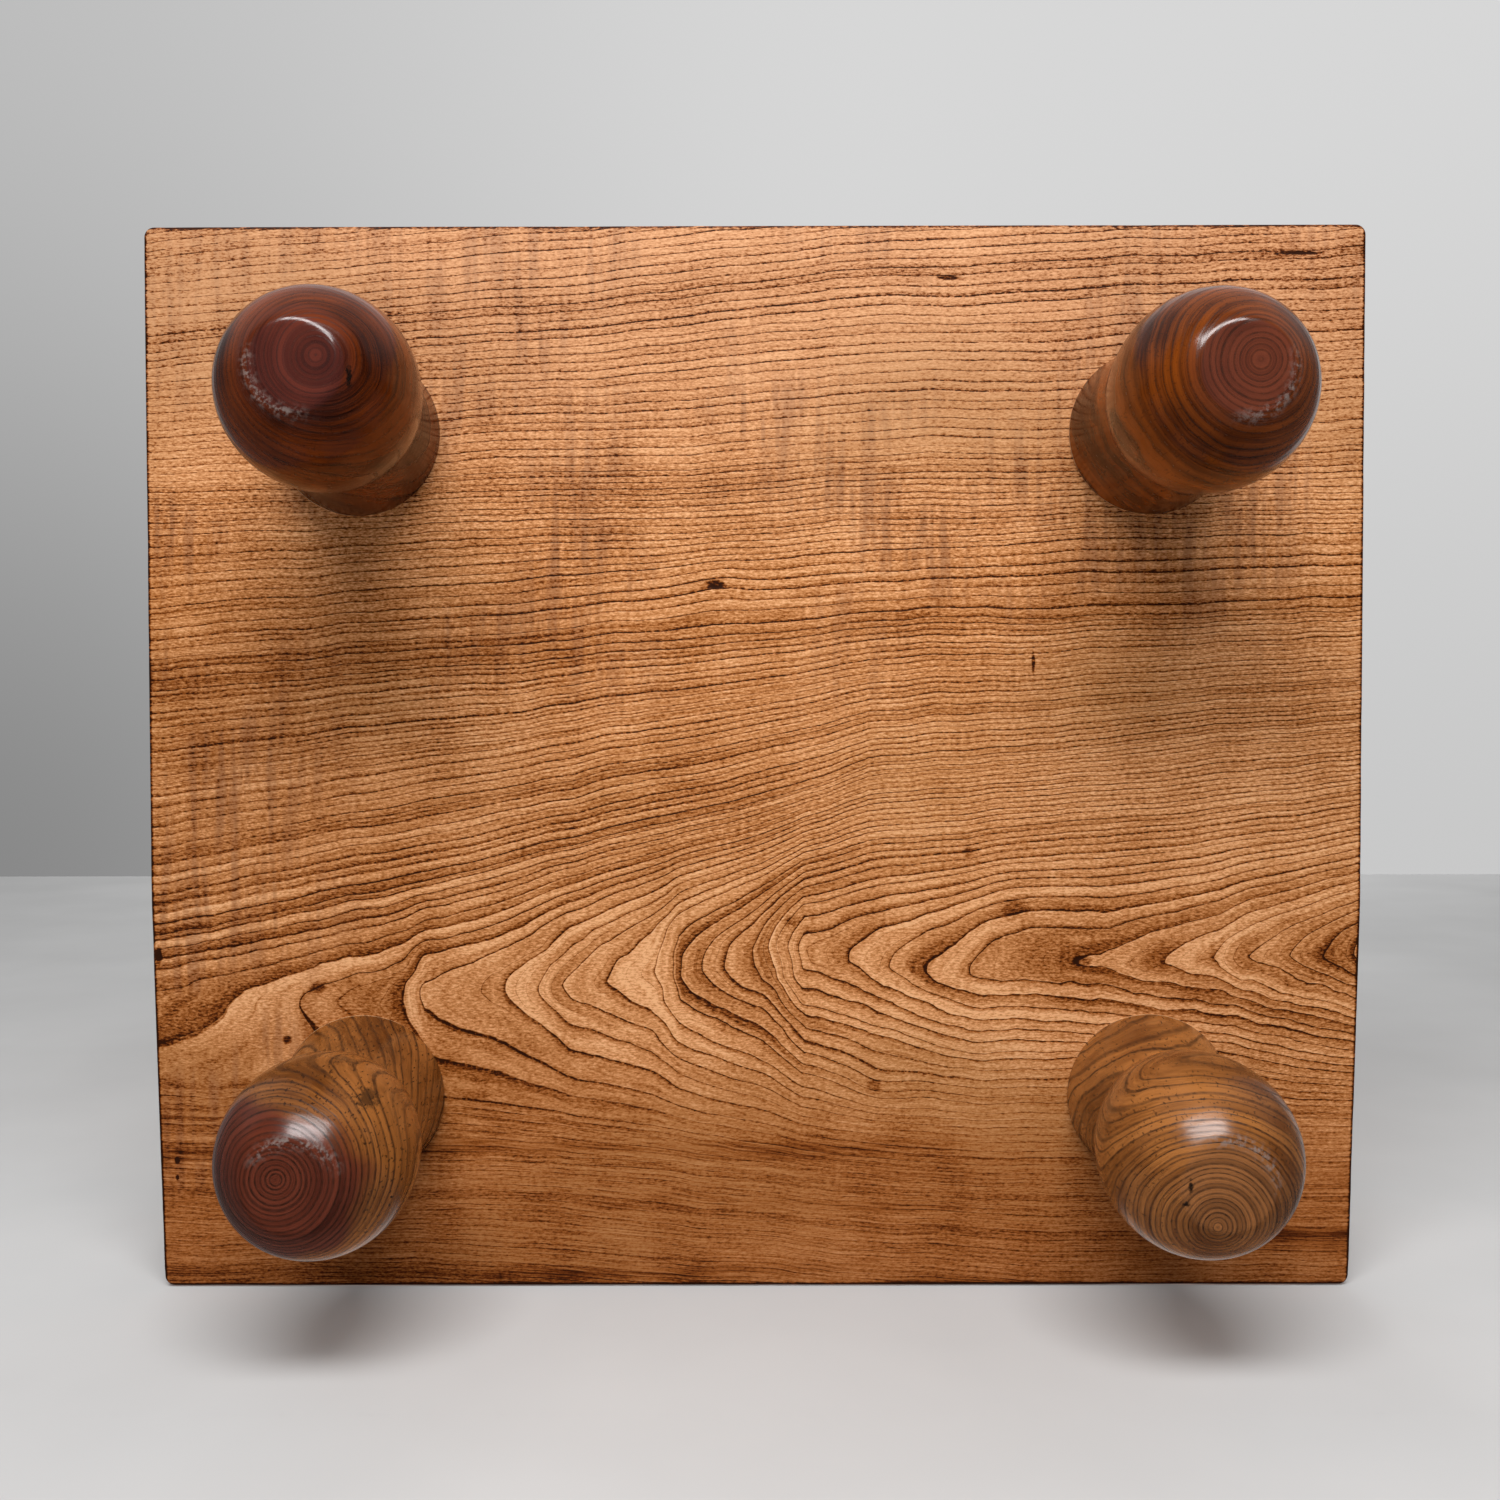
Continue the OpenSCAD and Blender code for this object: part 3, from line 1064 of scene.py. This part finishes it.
@dataclass
class BoardBlock:
    """The block: a thick slab with soft arrises, ends drawn in at the rear, and a mortise for each leg."""

    legs: Sequence[TurnedLeg]
    length: float = 485.0
    width: float = 424.0
    thickness: float = 121.0
    underside: float = 110.0
    corner: float = 4.0
    chamfer: float = 1.2
    taper: float = 3.8
    taper_length: float = 155.0
    middle: float = 2.5
    mortise_radius: float = 17.08
    mortise_depth: float = 38.0
    side_points: int = 64
    corner_points: int = 9
    inner_points: int = 40
    arris_rows: int = 6
    mortise_rows: int = 5
    quarter_shares: tuple[float, ...] = (0.0, 0.08, 0.3, 0.6, 1.0)
    face_rings: int = 10
    sharp_angle: float = 32.0
    wood: SlabWood = field(default_factory=SlabWood)

    def quarter(self, end: End, edge: Edge) -> np.ndarray:
        """One quarter of the plan outline: half the long edge, the rounded corner, half the end.

        Args:
            end: which end of the block.
            edge: which long edge.

        Returns:
            Rows of place and outward direction (x, y, nx, ny), from the long edge's middle to the end's.
        """
        half, deep = self.length / 2.0, self.width / 2.0
        drawn = self.taper if edge is Edge.REAR else 0.0
        slant = math.atan2(self.taper, self.taper_length) if edge is Edge.REAR else 0.0
        centre = np.array([half - drawn - self.corner, deep - self.corner])
        along = np.linspace(0.0, centre[0], self.side_points)[:-1]
        flat, square = np.zeros_like(along), np.ones_like(along)
        first = np.column_stack([along, np.full_like(along, deep), flat, square])
        bend = np.linspace(np.pi / 2.0, slant, self.corner_points)
        turn = np.column_stack([np.cos(bend), np.sin(bend)])
        arc = np.column_stack([centre + self.corner * turn, turn])
        stop = edge.value * self.middle
        down = np.linspace(arc[-1, 1], stop, self.side_points)[1:]
        bent = np.clip((down - (deep - self.taper_length)) / self.taper_length, 0.0, 1.0)
        edge_x = half - drawn * bent
        normal_x = np.where(bent > 0.0, math.cos(slant), 1.0)
        normal_y = np.where(bent > 0.0, math.sin(slant), 0.0)
        last = np.column_stack([edge_x, down, normal_x, normal_y])
        return np.concatenate([first, arc, last]) * np.array([end.value, edge.value] * 2)

    def wear(self, points: np.ndarray, level: float) -> np.ndarray:
        """Width of the worn arris at each outline point: the chamfer, and a little more in places.

        Args:
            points: outline points in mm.
            level: a number that sets the lower arris apart from the upper one.

        Returns:
            Widths in mm, never less than the chamfer.
        """
        run = points[:, 0] * 0.031 + points[:, 1] * 0.043 + level
        waves = np.sin(run) + 0.7 * np.sin(2.7 * run + 1.0) + 0.5 * np.sin(7.3 * run + 2.0)
        return self.chamfer * (1.0 + 0.16 * np.maximum(waves, 0.0))

    def ring(self, outline: np.ndarray, inset: np.ndarray, height: float) -> np.ndarray:
        """The outline drawn in by an inset, at a height."""
        plan = outline[:, :2] - outline[:, 2:] * inset[:, None]
        return np.column_stack([plan, np.full(len(plan), height)])

    def band(self, outline: np.ndarray) -> np.ndarray:
        """Rows of points up the sides: a rounded arris, the side, and another rounded arris.

        An arris row at share s of a quarter turn is drawn in by w(1 - sin) and raised by w(1 - cos).

        Args:
            outline: the closed plan outline.

        Returns:
            Rows of points from the underside's border to the playing face's border.
        """
        turn = np.linspace(0.0, np.pi / 2.0, self.arris_rows)
        low, high = self.wear(outline, 0.0), self.wear(outline, 40.0)
        top = self.underside + self.thickness
        rows = []
        for angle in turn:
            row = self.ring(outline, low * (1.0 - math.sin(angle)), self.underside)
            row[:, 2] += low * (1.0 - math.cos(angle))
            rows.append(row)
        for angle in turn[::-1]:
            row = self.ring(outline, high * (1.0 - math.sin(angle)), top)
            row[:, 2] -= high * (1.0 - math.cos(angle))
            rows.append(row)
        return np.stack(rows)

    def mortised_quarter(self, draft: MeshDraft, leg: TurnedLeg, border: np.ndarray) -> None:
        """Adds one quarter of the underside, the mortise in it and the mortise's end.

        The quarter is ruled from the mortise's mouth to the quarter's border: a point at share t lies at
        mouth * (1 - t) + border * t.

        Args:
            draft: takes the patches.
            leg: the leg whose tenon the mortise holds.
            border: the quarter's outer border, from the long edge's middle to the end's middle.
        """
        corner = np.array([0.0, self.middle, self.underside])
        share = np.linspace(0.0, 1.0, self.inner_points)[1:, None]
        inward = border[-1] * (1.0 - share) + corner * share
        outward = (corner * (1.0 - share) + border[0] * share)[:-1]
        loop = np.concatenate([border, inward, outward])
        away = loop - leg.base
        angle = np.arctan2(away[:, 1], away[:, 0])
        spin = np.array(leg.turn.to_matrix())
        mouth = np.column_stack([np.cos(angle), np.sin(angle)]) * self.mortise_radius
        rise = -(mouth @ spin[2, :2]) / spin[2, 2]
        steps = np.array(self.quarter_shares)[:, None, None]
        rim = leg.to_frame(np.column_stack([mouth, rise]))
        draft.sheet(rim * (1.0 - steps) + loop * steps, True)
        depths = np.linspace(0.0, 1.0, self.mortise_rows)[:, None]
        height = rise * (1.0 - depths) + self.mortise_depth * depths
        wall = np.concatenate([np.column_stack([mouth, h]) for h in height])
        closing = np.array([[0.0, 0.0, self.mortise_depth]])
        points = leg.to_frame(np.concatenate([wall, closing]))
        count, rows = len(angle), self.mortise_rows
        fan = fan_faces((rows - 1) * count, count, rows * count)
        draft.patch(points, [grid_faces(rows, count, True), fan])

    def build(self) -> bpy.types.Object:
        """Builds the block.

        Returns:
            The piece: four quarters of the underside, the band round the sides and the playing face.
        """
        draft = MeshDraft()
        order = [(End.RIGHT, Edge.FRONT), (End.RIGHT, Edge.REAR),
                 (End.LEFT, Edge.REAR), (End.LEFT, Edge.FRONT)]
        legs = {(leg.end, leg.edge): leg for leg in self.legs}
        runs = []
        for number, (end, edge) in enumerate(order):
            outline = self.quarter(end, edge)
            border = self.ring(outline, self.wear(outline, 0.0), self.underside)
            self.mortised_quarter(draft, legs[(end, edge)], border)
            run = outline if number % 2 == 0 else outline[::-1]
            runs.append(run[:-1])
        loop = np.concatenate(runs)
        rows = self.band(loop)
        draft.sheet(rows, True)
        self.playing_face(draft, rows[-1])
        return draft.finish("board_block_timber", self.sharp_angle)

    def playing_face(self, draft: MeshDraft, border: np.ndarray) -> None:
        """Adds the playing face: rings that shrink from its border, and a fan to its middle.

        A ring at share s lies at middle + (border - middle) * s.

        Args:
            draft: takes the patch.
            border: the closed border of the face.
        """
        middle = np.array([[0.0, 0.0, self.underside + self.thickness]])
        shares = np.linspace(1.0, 0.1, self.face_rings)[:, None, None]
        rings = middle + (border - middle) * shares
        count, last = len(border), (self.face_rings - 1) * len(border)
        points = np.concatenate([rings.reshape(-1, 3), middle])
        fan = fan_faces(last, count, last + count)
        draft.patch(points, [grid_faces(self.face_rings, count, True), fan])

    def dress(self, obj: bpy.types.Object) -> None:
        """Gives the block its timber and puts it on its body."""
        obj.data.materials.append(self.wood.build())
        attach(obj, "board")
        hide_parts("board_block")


@dataclass
class PlayingGrid:
    """The lacquer lines and star points, which keep their CAD shape."""

    nodes: tuple[str, ...] = ("grid_lines", "star_points")
    finish: Lacquer = field(default_factory=Lacquer)

    def dress(self, shown: dict[str, bpy.types.Object]) -> None:
        """Gives the CAD nodes their lacquer."""
        material = self.finish.build()
        for name in self.nodes:
            for place in shown[name].material_slots:
                place.material = material


@dataclass(frozen=True)
class Lamp:
    """A soft rectangular lamp: where it hangs and its width and height in metres, its power in watts."""

    name: str
    place: tuple[float, float, float]
    size: tuple[float, float]
    power: float
    mirrored: bool = True

    def build(self, aim: Vector) -> None:
        """Makes the lamp, facing a point."""
        data = bpy.data.lights.new(self.name, "AREA")
        data.shape, data.energy = "RECTANGLE", self.power
        data.size, data.size_y = self.size
        obj = bpy.data.objects.new(self.name, data)
        obj.location = self.place
        obj.rotation_euler = (aim - Vector(self.place)).to_track_quat("-Z", "Y").to_euler()
        obj.visible_glossy = self.mirrored
        bpy.context.scene.collection.objects.link(obj)


@dataclass
class Studio:
    """Camera, lamps, surround and two pale planes: one under the feet, one under the stood-up board."""

    camera_place: Vector = field(default_factory=lambda: Vector((-1.08, -18.35, -489.36)) * MM)
    camera_turn: tuple[float, float, float] = (-1.380, -0.096, 0.102)
    sensor: float = 36.0
    lens: float = 36.0
    aim: tuple[float, float, float] = (0.0, 0.0, 0.10)
    lamps: tuple[Lamp, ...] = (
        Lamp("lamp_key", (-0.05, -1.05, -0.66), (1.1, 0.38), 23.0),
        Lamp("lamp_top", (0.2, -0.15, 2.6), (1.2, 1.2), 40.0),
        Lamp("lamp_back", (0.4, 2.3, 1.3), (1.4, 1.0), 34.0, False),
        Lamp("lamp_fill", (0.0, -0.55, -1.6), (1.4, 1.2), 4.5, False))
    board_rear: float = 0.212
    floor_gap: float = 0.0004
    floor_reach: float = 8.0
    ground_reach: float = 4.0
    ground_low: float = -1.2
    ground_high: float = 1.65

    def camera(self) -> None:
        """Makes the camera below the underside, looking up at it with the front edge uppermost."""
        data = bpy.data.cameras.new("camera")
        data.sensor_width, data.lens = self.sensor, self.lens
        data.clip_start, data.clip_end = 0.01, 50.0
        obj = bpy.data.objects.new("camera", data)
        bpy.context.scene.collection.objects.link(obj)
        turn = Euler([math.radians(a) for a in self.camera_turn]).to_matrix()
        flip = Matrix(((1, 0, 0), (0, -1, 0), (0, 0, -1)))
        obj.matrix_world = Matrix.Translation(self.camera_place) @ (turn @ flip).to_4x4()
        bpy.context.scene.camera = obj

    def plane(self, name: str, corners: Sequence[Sequence[float]], finish: PaleGround) -> bpy.types.Object:
        """Makes one pale plane from its four corners, its front by the right-hand rule."""
        mesh = bpy.data.meshes.new(name)
        mesh.from_pydata([tuple(c) for c in corners], [], [(0, 1, 2, 3)])
        obj = bpy.data.objects.new(name, mesh)
        obj.data.materials.append(finish.build())
        obj.visible_shadow = False
        bpy.context.scene.collection.objects.link(obj)
        return obj

    def surround(self) -> None:
        """Makes the world: a pale wall and a dim front for camera and reflections, and even light."""
        world = bpy.data.worlds.new("surround")
        bpy.context.scene.world = world
        world.use_nodes = True
        shader = Shader(world.node_tree)
        x, y, z = shader.split(shader.add("ShaderNodeTexCoord").outputs["Generated"])
        # Painted shade on the wall: darker towards the bottom and the left.
        down = y.smooth(-0.42, 0.12)
        dim = shader.blend(down, grey(0.50), grey(0.24))
        bright = shader.blend(down, grey(0.68), grey(0.58))
        wall = shader.blend(x.smooth(-0.5, 0.1), dim, bright)
        front = shader.blend(y.smooth(-0.2, -0.6), grey(0.08), grey(0.32))
        sides = shader.blend(z.smooth(-0.1, 0.0), grey(0.02), front)
        wall = shader.blend(z.smooth(0.66, 0.80), sides, wall)
        room = shader.blend(z.smooth(-0.1, 0.3), grey(0.06), grey(0.40))
        path = shader.add("ShaderNodeLightPath")
        rays = [shader.number(path, f"Is {kind} Ray") for kind in ("Camera", "Glossy", "Transmission")]
        colour = shader.blend(reduce(Number.most, rays), room, wall)
        shader.output(shader.add("ShaderNodeBackground", None, {"Color": colour}).outputs[0],
                      "ShaderNodeOutputWorld")

    def build(self) -> None:
        """Makes the whole studio."""
        self.camera()
        self.surround()
        for lamp in self.lamps:
            lamp.build(Vector(self.aim))
        low, wide = -self.floor_gap, self.floor_reach
        corners = [(-wide, -wide, low), (wide, -wide, low), (wide, wide, low), (-wide, wide, low)]
        floor = self.plane("floor", corners, PaleGround("floor_paint"))
        floor.visible_diffuse = floor.visible_glossy = False
        rear, wide = self.board_rear + self.floor_gap, self.ground_reach
        low, high = self.ground_low, self.ground_high
        corners = [(-wide, rear, low), (wide, rear, low), (wide, rear, high), (-wide, rear, high)]
        ground = self.plane("ground", corners, PaleGround("ground_paint", grey(0.52), grey(0.10)))
        ground.visible_glossy = False


def turned_legs() -> list[TurnedLeg]:
    """The four legs, each with its own lean and its own piece of timber."""
    plum = LegWood(
        "leg_wood_plum", light=(0.190, 0.034, 0.003), dark=(0.026, 0.004, 0.0010),
        end=(0.096, 0.023, 0.019), line=(0.012, 0.003, 0.001),
        ring_width=2.0, heart=(3.5, -0.5), heart_lean=(0.03, -0.02), seed=3.1,
        marks=(LegMark(17.0, 3.0, 106.0, 1.1, 4.8, 6.0, 0.95),), worn_side=(-0.75, 0.65), line_share=0.45,
        depth=0.62, figure=0.75)
    russet = LegWood(
        "leg_wood_russet", light=(0.250, 0.055, 0.005), dark=(0.044, 0.008, 0.0010),
        end=(0.115, 0.030, 0.020), line=(0.014, 0.004, 0.001),
        ring_width=2.1, heart=(6.0, -4.0), heart_lean=(-0.02, 0.015), seed=7.7,
        worn_side=(0.75, 0.65), line_share=0.68, depth=0.54, figure=0.75)
    honey = LegWood(
        "leg_wood_honey", light=(0.290, 0.102, 0.022), dark=(0.105, 0.031, 0.005),
        end=(0.112, 0.021, 0.012), line=(0.020, 0.006, 0.002),
        ring_width=1.7, heart=(-9.4, -5.7), heart_lean=(0.04, 0.02), seed=12.4,
        marks=(LegMark(20.0, -24.0, 88.0, 5.0, 4.0, 7.0, 0.75),
               LegMark(9.0, -32.0, 72.0, 5.0, 4.0, 6.0, 0.6)),
        worn_side=(0.1, -1.0), line_share=0.95, stain=0.92, core=(-11.0, 1.0, 33.0, 25.0), pore_share=0.85,
        gloss_rough=0.22)
    gold = LegWood(
        "leg_wood_gold", light=(0.355, 0.132, 0.032), dark=(0.130, 0.039, 0.007),
        end=(0.300, 0.115, 0.036), line=(0.020, 0.006, 0.002),
        ring_width=1.6, heart=(3.0, 6.0), heart_lean=(-0.06, 0.06), seed=18.9,
        marks=(LegMark(-12.4, -1.0, 108.0, 1.0, 2.6, 6.0, 0.95),
               LegMark(-13.7, 5.0, 107.0, 1.4, 1.4, 6.0, 0.95),
               LegMark(-3.0, -34.0, 55.0, 4.5, 4.0, 4.0, 0.85)),
        worn_side=(0.55, -0.8), line_share=0.95, stain=0.1, pore_share=0.7, gloss_rough=0.25)
    return [
        TurnedLeg("leg_front_left", "leg_wood_dark", End.LEFT, Edge.FRONT, 4.2, 1.2, plum, 1),
        TurnedLeg("leg_front_right", "leg_wood_brown", End.RIGHT, Edge.FRONT, -1.4, 0.3, russet, 2),
        TurnedLeg("leg_rear_left", "leg_wood_red", End.LEFT, Edge.REAR, 2.3, 1.6, honey, 3),
        TurnedLeg("leg_rear_right", "leg_wood_golden", End.RIGHT, Edge.REAR, 1.2, 1.6, gold, 4)]


def report(obj: bpy.types.Object) -> None:
    """Logs a piece's name and size in faces."""
    LOG.info("%s: %d points, %d faces", obj.name, len(obj.data.vertices), len(obj.data.polygons))


def main() -> None:
    """Builds the studio, the legs, the block and the playing grid, and reports each piece."""
    logging.basicConfig(level=logging.INFO, format="%(name)s: %(message)s")
    bpy.context.scene.view_settings.view_transform = "Standard"
    Studio().build()
    legs = turned_legs()
    for leg in legs:
        piece = leg.build()
        leg.dress(piece)
        report(piece)
    block = BoardBlock(legs)
    piece = block.build()
    block.dress(piece)
    report(piece)
    grid = PlayingGrid()
    grid.dress(frame["nodes"])
    for name in grid.nodes:
        report(frame["nodes"][name])


if __name__ == "__main__":
    main()
